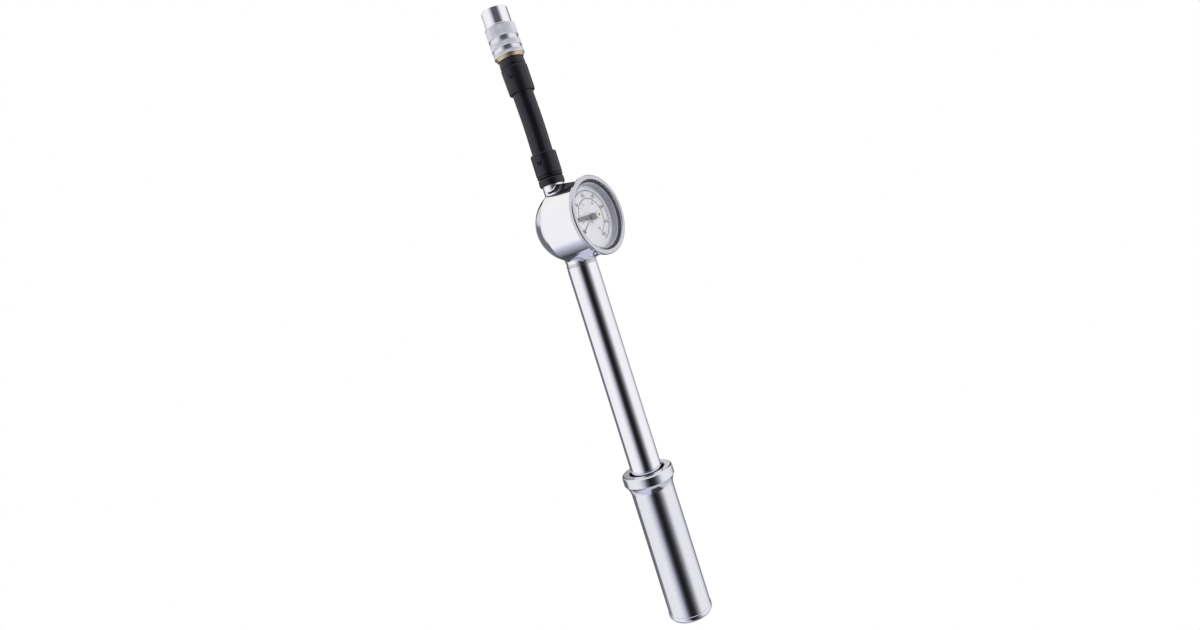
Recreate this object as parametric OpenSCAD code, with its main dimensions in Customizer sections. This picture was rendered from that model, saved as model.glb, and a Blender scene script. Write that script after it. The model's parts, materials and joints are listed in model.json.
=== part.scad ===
// Shock suspension pump with a round pressure gauge, a short stiff hose and a
// two-stage screw-on chuck. It stands closed on the flat end of its handle:
// the origin is the centre of that face, +Z runs up the barrel to the chuck,
// and the dial faces -Y. All sizes are millimetres.

/* [Handle] */
// Diameter of the grip
handle_d = 16.9; // [16.4:0.1:18]
// Length of the handle from its end face to the top of its flange
handle_len = 58.3; // [50:0.1:70]
// Diameter of the flange lip
flange_d = 20.2; // [19.6:0.1:22]
// Rounding of the end cap's edge
cap_round = 1.5; // [0.5:0.1:2]

/* [Barrel] */
// Outer diameter of the barrel
barrel_d = 12.2; // [12:0.1:12.6]
// Bore of the barrel, in which the piston runs
bore_d = 8.8; // [8.6:0.1:9.2]
// Length of barrel that shows above the closed handle
barrel_show = 83.3; // [60:0.1:120]
// Diameter of the piston rod
rod_d = 5; // [4.6:0.1:5.4]

/* [Gauge] */
// Diameter of the round gauge body
gauge_d = 28.8; // [28.6:0.1:29.2]
// Diameter of the bezel
bezel_d = 31.1; // [30.6:0.1:33]
// Distance from the pump axis to the front of the bezel
bezel_front = 15.6; // [15.2:0.1:16.4]
// Radius of the domed back
dome_r = 14.9; // [14.85:0.05:15.3]
// Teeth on the pinion that carries the needle
pinion_teeth = 8; // [8:1:8]

/* [Hose] */
// Outer diameter of the hose
hose_d = 8.4; // [8:0.1:8.8]
// Length of hose between the two ferrules
hose_show = 24.9; // [24:0.1:40]
// Distance that the hose port sits behind the barrel's axis
hose_back = 1.9; // [1.5:0.1:2]
// Lean of the upper hose end out of the barrel's direction, in degrees
hose_lean = 1.9; // [0:0.1:4]
// Compass direction of that lean, in degrees from +X towards +Y
lean_heading = 128.6; // [0:0.1:360]

/* [Chuck] */
// Diameter of the plain nozzle
nozzle_d = 10.7; // [10.2:0.1:11]
// Diameter of the knurled collar
collar_d = 12.3; // [11.8:0.1:13]
// Radius of the valve thread in the nozzle
valve_r = 3.87; // [3.8:0.01:3.95]

/* [Hidden] */
$fn = 96;

// Colours
CHROME = [0.82, 0.82, 0.86];
STEEL = [0.62, 0.63, 0.66];
BRASS = [0.76, 0.58, 0.28];
BLACK = [0.10, 0.10, 0.11];
RUBBER = [0.16, 0.15, 0.17];
WHITE = [0.93, 0.93, 0.95];
CLEAR = [0.85, 0.92, 0.96, 0.35];

// Working clearances
run_gap = 0.05;
seal_gap = 0.02;
cut = 0.5;

// Levels along the pump, from the handle's end face upwards
cap_seam_z = 2.5;
cap_plug_z = 6;
lock_nut_z = 8.5;
bumper_z = 10.8;
bush_z = 11.2;
barrel_z = 12.2;
bush_top_z = 18;
shoulder_z = handle_len + barrel_show;
neck_z = shoulder_z + 1.4;
gauge_z = neck_z + 15.1;
spigot_z = neck_z + 6.5;
port_z = gauge_z + 16.9;
nut_top_z = port_z + 3.1;
ferrule_top_z = port_z + 13;
bend_z = ferrule_top_z + hose_show / 2;
hose_end_z = ferrule_top_z + hose_show;
crimp_top_z = hose_end_z + 10.6;
stem_flange_z = crimp_top_z + 3.2;
collar_z = stem_flange_z + 1.2;
nozzle_z = collar_z + 12.3;
nozzle_top_z = nozzle_z + 6.9;

// Radii shared by several pieces
barrel_r = barrel_d / 2;
bore_r = bore_d / 2;
rod_r = rod_d / 2;
sleeve_r = handle_d / 2;
sleeve_bore_r = 7;
spigot_r = 5.6;
neck_r = 5.85;
stud_r = 2;
gauge_r = gauge_d / 2;
hose_r = hose_d / 2;
hose_bore_r = 2.1;
port_r = 2.6;
port_neck_r = 4.3;
port_thread_r = 4;
nut_r = 5.1;
ferrule_r = 5.2;
tail_r = 2.92;

// Depths inside the gauge, measured forward from the pump axis
crease_w = -1.4;
dome_w = 2.35;
wall_w = 6.9;
rear_plate_w = 7.4;
front_plate_w = 9.9;
plate_t = 0.5;
step_w = 11;
dial_w = 11.4;
flange_w = bezel_front - 1.75;
lens_w = flange_w + 0.2;
lens_t = 0.95;
mouth_r = 13.75;
skirt_r = 13;
cavity_r = 12.4;

// Movement of the gauge: a toothed sector drives the needle's pinion
gear_module = 0.2;
sector_teeth = 64;
pinion_r = gear_module * pinion_teeth / 2;
sector_r = gear_module * sector_teeth / 2;
sector_at = [5, -5.2];
mesh_deg = atan2(-sector_at[1], -sector_at[0]);
tail_len = 3;
tail_deg = -20;
sector_w = 8.4;
shaft_r = 0.35;
tail_pin_r = 0.3;
tail_end = sector_at + tail_len * [cos(tail_deg), sin(tail_deg)];
hairspring_w = 9.3;
needle_w = 12;
arbor_end_w = 12.3;
pillar_at = [[-3.8, -2.5], [3.5, 4.5]];
tube_r = 10.6;
tube_w = 8.8;
tube_half = 0.55;
tube_depth = 2.8;
tube_start = 255;
tube_tip = -17;
tip_at = tube_r * [cos(tube_tip), sin(tube_tip)];

// Places its children on the gauge's axis: local Z points out of the dial,
// local Y points up
module on_gauge() {
    translate([0, 0, gauge_z]) rotate([90, 0, 0]) children();
}

// Places its children on the hose port's axis
module on_port() {
    translate([0, hose_back, 0]) children();
}

// Places its children on the chuck's axis, which leans about the hose's middle
module on_chuck() {
    translate([0, hose_back, bend_z])
        rotate(a = hose_lean, v = [-sin(lean_heading), cos(lean_heading), 0])
            translate([0, 0, -bend_z])
                children();
}

// A cylinder of radius r between the levels z0 and z1
module rod(r, z0, z1) {
    translate([0, 0, z0]) cylinder(r = r, h = z1 - z0);
}

// A cone or straight cylinder between two levels
module taper(r0, r1, z0, z1) {
    translate([0, 0, z0]) cylinder(r1 = r0, r2 = r1, h = z1 - z0);
}

// A tube between the levels z0 and z1
module ring(r_out, r_in, z0, z1) {
    difference() {
        rod(r_out, z0, z1);
        rod(r_in, z0 - cut, z1 + cut);
    }
}

// What a rounding of radius r takes off a corner at x, y that points to sx, sy
module corner(x, y, r, sx, sy) {
    translate([x, y]) scale([sx, sy]) difference() {
        translate([-r, -r]) square(r + cut);
        translate([-r, -r]) circle(r = r, $fn = 64);
    }
}

// An O-ring of mean radius r and cord radius c, centred on the level z
module oring(r, c, z) {
    translate([0, 0, z]) rotate_extrude() translate([r, 0]) circle(r = c, $fn = 32);
}

// ---- Barrel ----

module barrel_tube() {
    color(CHROME) difference() {
        union() {
            rod(barrel_r, barrel_z, shoulder_z);
            rod(spigot_r, shoulder_z, spigot_z);
        }
        rod(bore_r, barrel_z - cut, spigot_z + cut);
    }
}

module barrel_end_bush() {
    wiper_groove_r = 3.3;
    color(BRASS) difference() {
        union() {
            rod(barrel_r, bush_z, barrel_z);
            rod(bore_r, barrel_z, bush_top_z);
        }
        rod(rod_r + run_gap, bush_z - cut, bush_top_z + cut);
        rod(wiper_groove_r, bush_z + 2, bush_z + 3.2);
    }
}

module rod_wiper_ring() {
    wiper_r = 3.3;
    color(BLACK) ring(wiper_r, rod_r + seal_gap, bush_z + 2, bush_z + 3.2);
}

// The thin ring between the barrel's shoulder and the neck of the housing
module barrel_seal_ring() {
    ring_r = 6;
    groove = 0.25;
    color(STEEL) difference() {
        union() {
            rod(ring_r, shoulder_z + groove, neck_z);
            rod(ring_r - groove, shoulder_z, neck_z);
        }
        rod(spigot_r, shoulder_z - cut, neck_z + cut);
    }
}

// ---- Gauge housing ----

// The wedge under the round body leaves it at this angle below the horizontal
wedge_deg = 55;
wedge_half = 4.1;
wedge_low = gauge_z - neck_z;
ramp_rise = 2.4;
ramp_r = 15.8;

// Outline of the wedge, which narrows from the round body to the neck
module wedge_outline() {
    x = gauge_r * cos(wedge_deg);
    s = gauge_r * sin(wedge_deg);
    polygon([
        [-x, 0], [-x, -s], [-wedge_half, -wedge_low],
        [wedge_half, -wedge_low], [x, -s], [x, 0]
    ]);
}

// A shallow cone round the barrel's axis trims the wedge's lower edge
module ramp() {
    rotate_extrude() polygon([
        [0, gauge_z], [0, neck_z], [neck_r, neck_z],
        [ramp_r, neck_z + ramp_rise], [ramp_r, gauge_z]
    ]);
}

module lower_wedge() {
    intersection() {
        on_gauge() translate([0, 0, crease_w])
            linear_extrude(height = flange_w - crease_w) wedge_outline();
        ramp();
    }
}

// The neck under the gauge flares out in a hollow sweep to meet the dome
module neck_flare() {
    sweep_r = 5;
    sweep_z = neck_z + 0.7;
    reach = 2.6;
    rotate_extrude() difference() {
        translate([0, neck_z]) square([neck_r + reach, sweep_r + 0.2]);
        translate([neck_r + sweep_r, sweep_z]) circle(r = sweep_r);
        translate([neck_r, neck_z - cut]) square([reach + cut, cut + sweep_z - neck_z]);
    }
}

// The roof carries the hose port: two facets rise from the round body to a
// narrow top, which slopes down towards the bezel
roof_deg = 68;
roof_half = 2.5;
roof_high = 16.2;
roof_w = -1.9;
roof_flat_w = 2.4;
roof_low = 13.8;

module roof_outline() {
    x = gauge_r * cos(roof_deg);
    s = gauge_r * sin(roof_deg);
    polygon([[0, 0], [x, s], [roof_half, roof_high], [-roof_half, roof_high], [-x, s]]);
}

module roof() {
    intersection() {
        translate([0, 0, roof_w]) linear_extrude(height = flange_w - roof_w) roof_outline();
        translate([-gauge_r, 0, 0]) rotate([0, 90, 0]) linear_extrude(height = gauge_d)
            polygon([
                [cut - roof_w, -1], [cut - roof_w, roof_high], [-roof_flat_w, roof_high],
                [-flange_w - cut, roof_low], [-flange_w - cut, -1]
            ]);
    }
}

module dome() {
    intersection() {
        translate([0, 0, dome_w]) sphere(r = dome_r);
        rod(dome_r, dome_w - dome_r - cut, crease_w);
    }
}

module housing_outside() {
    on_gauge() {
        rod(gauge_r, crease_w, flange_w);
        dome();
        roof();
    }
    lower_wedge();
    neck_flare();
    on_port() {
        rod(port_neck_r, gauge_z, port_z);
        rod(port_thread_r, port_z, port_z + 1.4);
    }
}

// Levels and sizes of the air ways, from the barrel to the hose and the gauge
seat_top_z = spigot_z + 2;
chamber_top_z = seat_top_z + 10.5;
port_floor_z = gauge_z + 7;
chamber_r = 2.4;
seat_r = 4;
air_r = 1;
gauge_air_r = 0.6;
gauge_air_up = -5.4;
screw_r = 0.5;

module housing_airways() {
    rod(spigot_r, neck_z - cut, spigot_z);
    rod(seat_r, spigot_z - cut, seat_top_z);
    rod(chamber_r, seat_top_z - cut, chamber_top_z);
    translate([0, hose_back - 0.7, 0]) rod(air_r, chamber_top_z - cut, port_floor_z + cut);
    on_port() rod(port_r, port_floor_z, port_z + 1.4 + cut);
    on_gauge() {
        translate([0, gauge_air_up, 0]) rod(gauge_air_r, 0, wall_w + cut);
        for (at = pillar_at)
            translate(at) rod(screw_r, wall_w - 2, wall_w + cut);
    }
}

module gauge_housing() {
    color(CHROME) difference() {
        housing_outside();
        on_gauge() {
            rod(mouth_r, step_w, flange_w + cut);
            rod(cavity_r, wall_w, step_w + cut);
        }
        housing_airways();
    }
}

module port_nut() {
    lip_r = tail_r + run_gap;
    lip_z = nut_top_z - 0.8;
    color(BLACK) on_port() difference() {
        union() {
            taper(nut_r - 0.25, nut_r, port_z, port_z + 0.5);
            rod(nut_r, port_z + 0.5, nut_top_z - 0.7);
            taper(nut_r, nut_r - 0.45, nut_top_z - 0.7, nut_top_z);
        }
        rod(port_thread_r, port_z - cut, lip_z);
        rod(lip_r, lip_z - cut, nut_top_z + cut);
    }
}

// ---- Gauge front ----

// Half section of the bezel: a flange with rounded edges and a thin skirt
// behind it
module bezel_section() {
    lip_r = 13.7;
    outer = bezel_d / 2;
    front_r = 0.75;
    inner_r = 0.4;
    back_r = 0.4;
    difference() {
        translate([lip_r, flange_w]) square([outer - lip_r, bezel_front - flange_w]);
        corner(outer, bezel_front, front_r, 1, 1);
        corner(lip_r, bezel_front, inner_r, -1, 1);
        corner(outer, flange_w, back_r, 1, -1);
    }
    translate([skirt_r, step_w]) square([mouth_r - skirt_r, flange_w - step_w]);
}

module gauge_bezel() {
    color(CHROME) on_gauge() rotate_extrude() bezel_section();
}

module lens_gasket() {
    color(BLACK) on_gauge() ring(mouth_r - 0.05, skirt_r, flange_w, lens_w);
}

// The clear window has a small moulded boss in its middle
module gauge_lens() {
    boss_r = 1.6;
    boss_h = 0.3;
    color(CLEAR) on_gauge() difference() {
        union() {
            rod(13.7, lens_w, lens_w + lens_t);
            rod(boss_r, lens_w + lens_t, lens_w + lens_t + boss_h);
        }
        rod(boss_r / 3, lens_w + lens_t, lens_w + lens_t + boss_h + cut);
    }
}

module dial_spacer_ring() {
    color(WHITE) on_gauge() ring(skirt_r, 12.4, dial_w, lens_w - 0.1);
}

module dial_face() {
    color(WHITE) on_gauge() ring(skirt_r, 1, step_w, dial_w);
}

module needle_stop_pin() {
    pin_at = 6.2 * [cos(192), sin(192)];
    color(STEEL) on_gauge() translate(pin_at) rod(0.25, dial_w, dial_w + 0.8);
}

// ---- Gauge movement ----

// Outline of both plates of the movement
module plate_outline() {
    polygon([
        [6.6, -6.6], [3.4, -6.9], [-5, -3.9], [-5.2, -1.2],
        [2.1, 6], [4.9, 5.8], [6.4, -2.5]
    ]);
}

module movement_plate(w) {
    on_gauge() difference() {
        translate([0, 0, w]) linear_extrude(height = plate_t) plate_outline();
        rod(0.4, w - cut, w + plate_t + cut);
        translate(sector_at) rod(0.4, w - cut, w + plate_t + cut);
        for (at = pillar_at)
            translate(at) rod(screw_r, w - cut, w + plate_t + cut);
        translate([0, gauge_air_up, 0]) rod(gauge_air_r, w - cut, w + plate_t + cut);
    }
}

module movement_rear_plate() {
    color(BRASS) difference() {
        movement_plate(wall_w);
        socket_solid();
    }
}

module movement_front_plate() {
    color(BRASS) movement_plate(front_plate_w);
}

module movement_pillars() {
    color(BRASS) on_gauge()
        for (at = pillar_at)
            translate(at) ring(0.9, screw_r, rear_plate_w, front_plate_w);
}

module movement_screws() {
    head_w = front_plate_w + plate_t;
    color(STEEL) on_gauge()
        for (at = pillar_at)
            translate(at) difference() {
                union() {
                    rod(screw_r, wall_w - 2, head_w);
                    rod(0.9, head_w, head_w + 0.45);
                }
                translate([-1, -0.12, head_w + 0.25]) cube([2, 0.24, 1]);
            }
}

// Flattened section of the Bourdon tube, swept round the gauge
module bourdon_sweep(half, depth, from, to) {
    rotate([0, 0, from])
        rotate_extrude(angle = to - from)
            translate([tube_r - half, tube_w - depth / 2])
                square([2 * half, depth]);
}

// The block that feeds the tube, before its ways are drilled
module socket_solid() {
    on_gauge() {
        translate([-2.6, -11.6, wall_w]) cube([5.2, 3.2, 3.4]);
        translate([-1.2, -8.5, wall_w]) cube([2.4, 4.2, 1.1]);
    }
}

module bourdon_socket() {
    color(BRASS) difference() {
        socket_solid();
        on_gauge() {
            translate([0, gauge_air_up, 0]) rod(gauge_air_r, wall_w - cut, wall_w + 0.6);
            translate([0, -10.4, wall_w + 0.55]) rotate([-90, 0, 0]) rod(0.3, 0, 5);
            translate([0, -10.4, tube_w]) rotate([0, -90, 0]) rod(0.3, 0, 3);
            translate([0, -10.4, wall_w + 0.55]) rod(0.3, 0, tube_w - wall_w - 0.5);
        }
    }
}

// The tube runs from the socket clockwise round the case to its free tip
module bourdon_tube() {
    color(BRASS) on_gauge() {
        difference() {
            bourdon_sweep(tube_half, tube_depth, tube_tip, tube_start);
            bourdon_sweep(tube_half - 0.25, tube_depth - 0.5, tube_tip + 4, tube_start + 1);
        }
    }
}

// Points of the hairspring's spiral between two offsets from its middle line
function spiral(r0, r1, turns, shift, n) = [
    for (i = [0:n])
        let (f = i / n, a = 360 * turns * f, r = r0 + (r1 - r0) * f + shift)
        r * [cos(a), sin(a)]
];
function backwards(points) = [for (i = [len(points) - 1:-1:0]) points[i]];

module hairspring() {
    half_t = 0.05;
    turns = 3;
    steps = 60;
    color(STEEL) on_gauge()
        translate([0, 0, hairspring_w])
            linear_extrude(height = 0.4)
                polygon(concat(
                    spiral(1.05, 2.7, turns, half_t, steps),
                    backwards(spiral(1.05, 2.7, turns, -half_t, steps))
                ));
}

// One straight-sided tooth that points along +X from radius r0 to r1
module tooth(r0, r1, foot, tip) {
    polygon([[r0, -foot / 2], [r1, -tip / 2], [r1, tip / 2], [r0, foot / 2]]);
}

module pinion_outline() {
    circle(r = pinion_r - 0.2);
    for (i = [0:pinion_teeth - 1])
        rotate(mesh_deg + 180 + i * 360 / pinion_teeth)
            tooth(pinion_r - 0.3, pinion_r + 0.1, 0.26, 0.1);
}

module pinion_arbor() {
    collet_r = 0.9;
    color(STEEL) on_gauge() {
        rod(shaft_r, wall_w + run_gap, arbor_end_w);
        translate([0, 0, sector_w - 0.2]) linear_extrude(height = 0.8) pinion_outline();
        rod(collet_r, hairspring_w, hairspring_w + 0.4);
    }
}

module sector_outline() {
    pitch = 360 / sector_teeth;
    first = mesh_deg - 39;
    last = mesh_deg + 6;
    middle = (first + last) / 2;
    root_r = sector_r - 0.22;
    arm = 0.7;
    difference() {
        union() {
            circle(r = 1.1);
            intersection() {
                circle(r = root_r);
                polygon([
                    [0, 0], 9 * [cos(first), sin(first)],
                    9 * [cos(middle), sin(middle)], 9 * [cos(last), sin(last)]
                ]);
            }
            rotate(tail_deg) translate([0, -arm / 2]) square([tail_len, arm]);
            translate(tail_end - sector_at) circle(r = 0.6);
            for (i = [0:7])
                rotate(mesh_deg + pitch / 2 - i * pitch)
                    tooth(root_r - 0.1, sector_r + 0.1, 0.3, 0.14);
        }
        circle(r = shaft_r);
        translate(tail_end - sector_at) circle(r = tail_pin_r);
    }
}

module sector_gear() {
    color(BRASS) on_gauge()
        translate([sector_at[0], sector_at[1], sector_w])
            linear_extrude(height = 0.4)
                sector_outline();
}

module sector_arbor() {
    color(STEEL) on_gauge() {
        translate(sector_at)
            rod(shaft_r, wall_w + run_gap, front_plate_w + plate_t - run_gap);
        translate(tail_end) rod(tail_pin_r, sector_w, sector_w + 0.9);
    }
}

// Flat link between the tail of the sector and the tip of the tube
module bourdon_link() {
    reach = tip_at - tail_end;
    len = norm(reach);
    color(STEEL) on_gauge()
        translate([tail_end[0], tail_end[1], sector_w + 0.5])
            rotate(atan2(reach[1], reach[0]))
                linear_extrude(height = 0.3)
                    difference() {
                        union() {
                            circle(r = 0.6);
                            translate([0, -0.3]) square([len - 1.8, 0.6]);
                        }
                        circle(r = tail_pin_r + run_gap);
                    }
}

needle_t = 0.15;
hub_r = 0.6;

module needle_pointer() {
    tail_r = 2.6;
    color([0.33, 0.27, 0.27]) on_gauge()
        translate([0, 0, needle_w])
            linear_extrude(height = needle_t)
                difference() {
                    union() {
                        polygon([
                            [0.6, 1.15], [-2.4, 0.95], [-8.3, 0.7],
                            [-8.7, 0], [-8.3, -0.7], [-2.4, -0.95], [0.6, -1.15]
                        ]);
                        circle(r = 1.35);
                        intersection() {
                            circle(r = tail_r);
                            polygon([[0, 0], [4, 2.2], [4, -2.2]]);
                        }
                    }
                    circle(r = hub_r);
                    translate([tail_r + 0.3, 0]) circle(r = 0.75);
                }
}

module needle_hub() {
    color(BRASS) on_gauge() difference() {
        union() {
            rod(1, dial_w + 0.2, needle_w);
            rod(hub_r, needle_w, needle_w + needle_t);
            rod(1.4, needle_w + needle_t, needle_w + 0.5);
        }
        rod(shaft_r, dial_w, arbor_end_w);
    }
}

// ---- Outlet valve ----

ball_r = 1.5;
ball_z = seat_top_z + sqrt(ball_r * ball_r - air_r * air_r) + 0.03;

module valve_seat() {
    color(BRASS) ring(seat_r, air_r, spigot_z, seat_top_z);
}

module check_ball() {
    color(STEEL) translate([0, 0, ball_z]) sphere(r = ball_r);
}

// Points of one ring of the spring's wire at turn angle a, on a helix
function wire_ring(r, z, a, wire, sides) = [
    for (k = [0:sides - 1])
        let (b = 360 * k / sides)
        [(r + wire * cos(b)) * cos(a), (r + wire * cos(b)) * sin(a), z + wire * sin(b)]
];

module coil_spring(r, wire, z0, z1, turns) {
    sides = 6;
    per_turn = 12;
    n = turns * per_turn;
    points = [
        for (i = [0:n])
            each wire_ring(r, z0 + (z1 - z0) * i / n, 360 * i / per_turn, wire, sides)
    ];
    walls = [
        for (i = [0:n - 1], k = [0:sides - 1])
            [
                i * sides + k, (i + 1) * sides + k,
                (i + 1) * sides + (k + 1) % sides, i * sides + (k + 1) % sides
            ]
    ];
    first = [for (k = [0:sides - 1]) k];
    last = [for (k = [sides - 1:-1:0]) n * sides + k];
    polyhedron(points, concat([first], walls, [last]));
}

module check_spring() {
    wire = 0.2;
    color(STEEL)
        coil_spring(1.1, wire, ball_z + ball_r - 0.2, chamber_top_z - wire - 0.05, 6);
}

// ---- Handle and piston ----

// Half section of the sleeve: a straight grip that flares into a rounded lip
module sleeve_section() {
    flare_r = 7;
    flare_z = handle_len - 8.2;
    lip_r = flange_d / 2;
    lip_low = handle_len - 3.6;
    difference() {
        union() {
            translate([sleeve_bore_r, cap_seam_z])
                square([sleeve_r - sleeve_bore_r, handle_len - cap_seam_z]);
            translate([sleeve_bore_r, flare_z])
                square([lip_r - sleeve_bore_r, handle_len - flare_z]);
        }
        intersection() {
            translate([sleeve_r + flare_r, flare_z]) circle(r = flare_r);
            translate([sleeve_r - cut, flare_z - cut]) square([3, lip_low - flare_z + cut]);
        }
        corner(lip_r, handle_len, 0.8, 1, 1);
        corner(sleeve_bore_r, handle_len, 0.4, -1, 1);
        corner(sleeve_r, cap_seam_z, 0.15, 1, -1);
    }
}

module handle_sleeve() {
    color(CHROME) rotate_extrude() sleeve_section();
}

// Half section of the end cap, with a large rounding on its lower edge
module cap_section() {
    bead_r = sleeve_r + 0.15;
    difference() {
        square([bead_r, cap_seam_z]);
        corner(bead_r, 0, cap_round, 1, -1);
        corner(bead_r, cap_seam_z, 0.25, 1, 1);
    }
    square([sleeve_bore_r, cap_plug_z]);
}

module handle_end_cap() {
    color(CHROME) difference() {
        rotate_extrude() cap_section();
        rod(stud_r, 1.5, cap_plug_z + cut);
    }
}

module rod_lock_nut() {
    color(STEEL) difference() {
        translate([0, 0, cap_plug_z]) cylinder(r = 4.6, h = lock_nut_z - cap_plug_z, $fn = 6);
        rod(rod_r, cap_plug_z - cut, lock_nut_z + cut);
    }
}

module rod_bumper() {
    color(BLACK) ring(4.4, rod_r, lock_nut_z, bumper_z);
}

// Levels of the piston when the pump is closed
piston_top_z = spigot_z - 0.9;
piston_z = piston_top_z - 9;
rod_stud_z = piston_z + 5;

module piston_rod() {
    color(STEEL) {
        rod(stud_r, 1.5, cap_plug_z);
        rod(rod_r, cap_plug_z, piston_z - run_gap);
        rod(stud_r, piston_z - run_gap, rod_stud_z);
    }
}

module piston_head() {
    color(BRASS) difference() {
        rod(bore_r - 0.08, piston_z, piston_top_z);
        rod(stud_r + run_gap, piston_z - cut, rod_stud_z + run_gap);
        ring(bore_r + cut, bore_r - 0.7, piston_z + 1.4, piston_z + 3.4);
        ring(bore_r + cut, bore_r - 1.35, piston_z + 5.6, piston_z + 7.2);
    }
}

module piston_wear_ring() {
    color(WHITE) ring(bore_r - seal_gap - 0.01, bore_r - 0.7, piston_z + 1.4, piston_z + 3.4);
}

module piston_seal() {
    cord = 0.65;
    color(BLACK) oring(bore_r - seal_gap - cord, cord, piston_z + 6.4);
}

// ---- Hose ----

module hose_tail() {
    groove_z = port_floor_z + 4;
    flange_z = port_z + 1.45;
    color(BRASS) on_port() difference() {
        union() {
            rod(port_r - run_gap, port_floor_z + 1, flange_z);
            rod(3.8, flange_z, flange_z + 0.75);
            rod(tail_r, flange_z, port_z + 5);
            rod(hose_bore_r, port_z + 5, ferrule_top_z - 1);
        }
        rod(0.9, port_floor_z, ferrule_top_z);
        ring(port_r + cut, 1.75, groove_z - 0.5, groove_z + 0.5);
    }
}

module swivel_oring() {
    cord = 0.4;
    color(BLACK) on_port() oring(port_r - seal_gap - cord, cord, port_floor_z + 4);
}

module lower_ferrule() {
    foot_z = nut_top_z + run_gap;
    color(BLACK) on_port() difference() {
        union() {
            taper(ferrule_r - 0.35, ferrule_r, foot_z, foot_z + 0.5);
            rod(ferrule_r, foot_z + 0.5, ferrule_top_z - 0.4);
            taper(ferrule_r, ferrule_r - 0.4, ferrule_top_z - 0.4, ferrule_top_z);
        }
        rod(tail_r, foot_z - cut, port_z + 5);
        rod(hose_r, port_z + 5, ferrule_top_z + cut);
    }
}

// The hose is cut at its bend: a cup below and a ball end above stand for the
// flexible middle
cup_gap = 0.3;
cup_drop = 2.9;

module hose_lower() {
    color(RUBBER) on_port() difference() {
        rod(hose_r, port_z + 5, bend_z - cup_drop);
        rod(hose_bore_r, port_z + 4, bend_z);
        translate([0, 0, bend_z]) sphere(r = hose_r + cup_gap);
    }
}

module hose_upper() {
    color(RUBBER) on_chuck() difference() {
        union() {
            rod(hose_r, bend_z, crimp_top_z - 2);
            translate([0, 0, bend_z]) sphere(r = hose_r);
        }
        rod(hose_bore_r, bend_z - hose_r - cut, crimp_top_z);
    }
}

module upper_ferrule() {
    color(BLACK) on_chuck() difference() {
        union() {
            taper(ferrule_r - 0.3, ferrule_r, hose_end_z, hose_end_z + 0.4);
            taper(ferrule_r, ferrule_r + 0.13, hose_end_z + 0.4, crimp_top_z - 0.5);
            taper(ferrule_r + 0.13, ferrule_r - 0.3, crimp_top_z - 0.5, crimp_top_z);
        }
        rod(hose_r, hose_end_z - cut, crimp_top_z - 2);
        rod(hose_bore_r, hose_end_z, crimp_top_z + cut);
    }
}

// ---- Chuck ----

boss_r = 4.3;
boss_top_z = collar_z + 2.1;
stem_r = 3;
pin_r = 1.02;
stem_top_z = nozzle_z - 3;
clip_z = stem_top_z - 1.2;
clip_t = 0.6;
gasket_r = 3.4;
gasket_z = stem_top_z + 0.1;
gasket_t = 1.5;
oring_z = boss_top_z + 2.2;

module chuck_nut() {
    color(BLACK) on_chuck() difference() {
        union() {
            taper(nut_r - 0.35, nut_r, crimp_top_z, crimp_top_z + 0.6);
            rod(nut_r, crimp_top_z + 0.6, crimp_top_z + 1.4);
            taper(nut_r, nut_r - 0.2, crimp_top_z + 1.4, stem_flange_z);
        }
        rod(tail_r, crimp_top_z - cut, stem_flange_z + cut);
    }
}

module chuck_stem() {
    color(BRASS) on_chuck() difference() {
        union() {
            rod(hose_bore_r, hose_end_z + 1, crimp_top_z);
            rod(tail_r, crimp_top_z, stem_flange_z);
            taper(ferrule_r, collar_d / 2 - 0.2, stem_flange_z, collar_z);
            rod(boss_r, collar_z, boss_top_z);
            rod(stem_r, boss_top_z, stem_top_z);
        }
        rod(pin_r + 0.08, hose_end_z, stem_top_z + cut);
        ring(stem_r + cut, 2.6, clip_z, clip_z + clip_t);
        ring(stem_r + cut, 2.2, oring_z - 0.5, oring_z + 0.5);
    }
}

module stem_oring() {
    cord = 0.4;
    color(BLACK) on_chuck() oring(stem_r + run_gap - seal_gap - cord, cord, oring_z);
}

module nozzle_clip() {
    color(STEEL) on_chuck() ring(3.3, 2.6, clip_z, clip_z + clip_t);
}

// The valve thread opens upwards; the lower sleeve turns on the stem
module valve_nozzle() {
    sleeve_out_r = 4.9;
    clip_pocket_z = clip_z - 0.1;
    outer = nozzle_d / 2;
    color(CHROME) on_chuck() difference() {
        union() {
            rod(sleeve_out_r, boss_top_z + 0.1, nozzle_z);
            rod(outer, nozzle_z, nozzle_top_z - 0.4);
            taper(outer, outer - 0.4, nozzle_top_z - 0.4, nozzle_top_z);
        }
        rod(stem_r + run_gap, boss_top_z - cut, clip_pocket_z + cut);
        rod(gasket_r, clip_pocket_z, gasket_z + gasket_t);
        rod(valve_r, gasket_z + gasket_t, nozzle_top_z + cut);
    }
}

module valve_gasket() {
    color(BLACK) on_chuck() ring(gasket_r, 1.7, gasket_z, gasket_z + gasket_t);
}

// Bands of the collar, from its lower rim upwards: plain, groove, knurl,
// groove, knurl
module knurled_collar() {
    outer = collar_d / 2;
    groove_r = outer - 0.25;
    z0 = collar_z + run_gap;
    z1 = nozzle_z - run_gap;
    color(CHROME) on_chuck() difference() {
        union() {
            rod(groove_r, z0, z1);
            rod(outer, z0, z0 + 1.2);
            rod(outer, z0 + 3.1, z0 + 5.45);
            rod(outer, z0 + 7.35, z1 - 0.3);
            taper(outer, outer - 0.3, z1 - 0.3, z1);
        }
        rod(boss_r + run_gap, z0 - cut, z1 + cut);
        rod(5, boss_top_z, z1 + cut);
    }
}

module core_pin() {
    color(STEEL) on_chuck() rod(pin_r, crimp_top_z + 2, stem_top_z + 1.55);
}

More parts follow.
